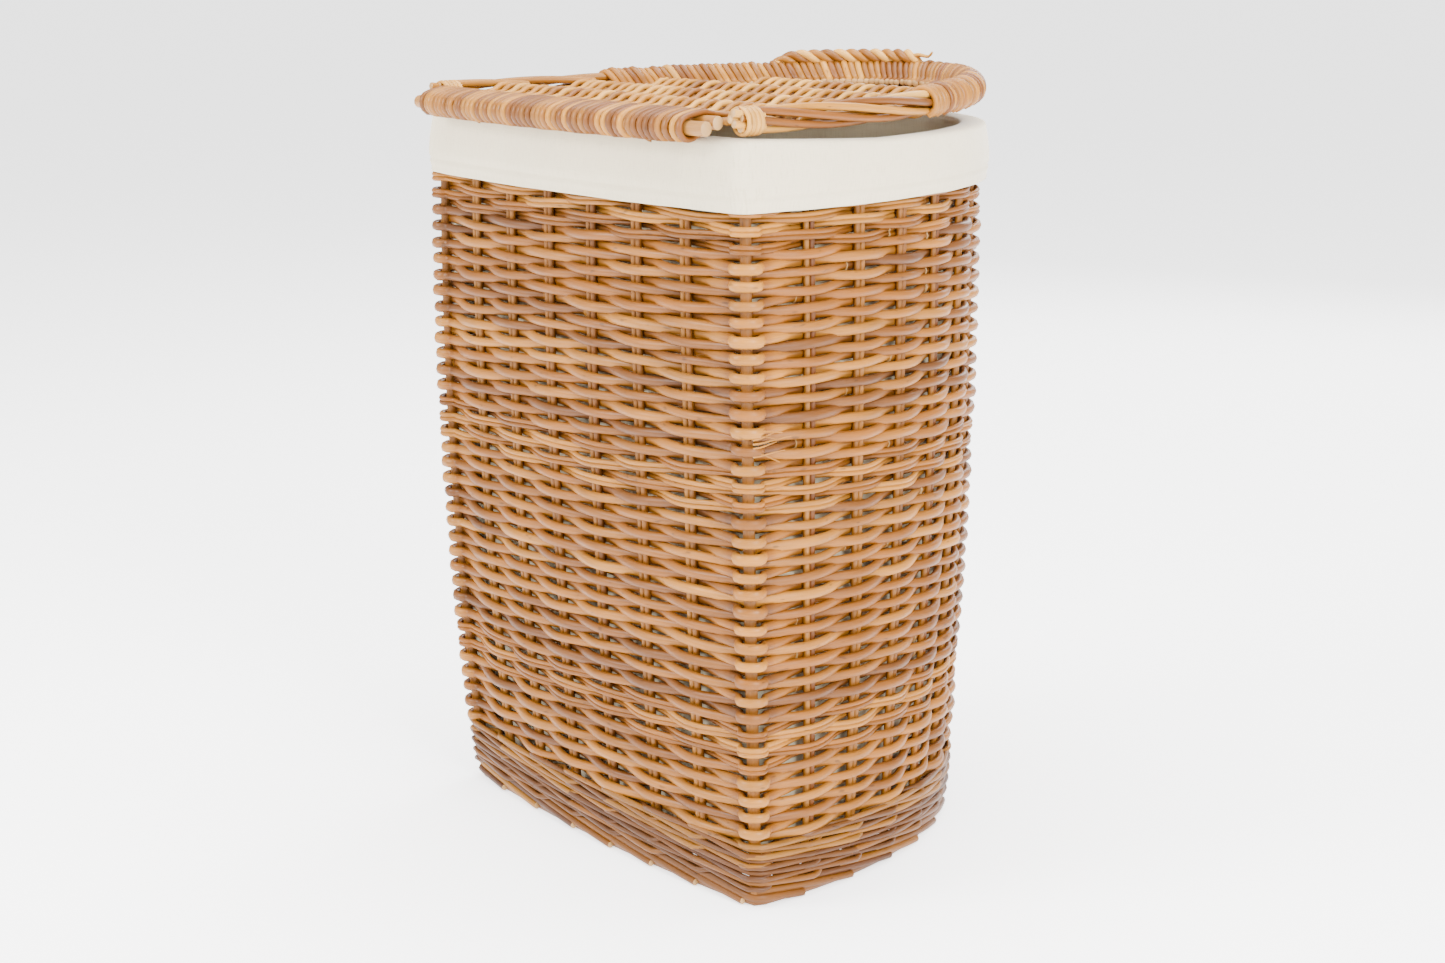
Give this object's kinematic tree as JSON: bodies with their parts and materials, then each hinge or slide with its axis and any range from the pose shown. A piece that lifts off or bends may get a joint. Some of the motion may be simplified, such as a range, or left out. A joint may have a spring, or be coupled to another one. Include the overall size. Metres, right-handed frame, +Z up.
{
  "type": "laundry basket",
  "caption": "D-shaped woven willow laundry basket with a cotton liner turned over the rim and a hinged woven lid with a roped grip.",
  "frame": {"origin": "on the floor, at the middle of the bounding box's bottom face", "axes": "+Z up; +Y towards the flat, hinged back; -Y towards the curved front; X across the width"},
  "size_m": [0.4402, 0.43, 0.6405],
  "materials": {
    "weaver": "glossy steamed willow",
    "stake": "glossy steamed willow",
    "stick": "glossy steamed willow, pale cut ends",
    "lid": "glossy pale willow",
    "cloth": "plain unbleached cotton calico"
  },
  "bodies": {
    "basket": {"base_stick_01": "stick", "base_stick_02": "stick", "base_stick_03": "stick", "base_stick_04": "stick", "base_stick_05": "stick", "base_stick_06": "stick", "base_weave": "weaver", "corner_post_left": "stake", "corner_post_right": "stake", "foot_border": "weaver", "hinge_ring_left": "stake", "hinge_ring_right": "stake", "liner_bag": "cloth", "liner_bottom": "cloth", "side_weave": "weaver", "stake_pair_01": "stake", "stake_pair_02": "stake", "stake_pair_03": "stake", "stake_pair_04": "stake", "stake_pair_05": "stake", "stake_pair_06": "stake", "stake_pair_07": "stake", "stake_pair_08": "stake", "stake_pair_09": "stake", "stake_pair_10": "stake", "stake_pair_11": "stake", "stake_pair_12": "stake", "stake_pair_13": "stake", "stake_pair_14": "stake", "stake_pair_15": "stake", "stake_pair_16": "stake", "stake_pair_17": "stake", "stake_pair_18": "stake", "stake_pair_19": "stake", "stake_pair_20": "stake", "stake_pair_21": "stake", "stake_pair_22": "stake", "top_border": "weaver", "upset_wale": "weaver"},
    "lid": {"lid_border": "lid", "lid_handle": "lid", "lid_inner_stick": "stick", "lid_outer_stick": "stick", "lid_rib_01": "stick", "lid_rib_02": "stick", "lid_rib_03": "stick", "lid_rib_04": "stick", "lid_tie_left": "lid", "lid_tie_right": "lid", "lid_weave": "lid"}
  },
  "joints": [
    {"name": "lid_hinge", "type": "hinge", "parent": "basket", "child": "lid", "pos_m": [0, 0.2023, 0.606], "axis": [-1, 0, 0], "range_deg": [0, 105]}
  ]
}
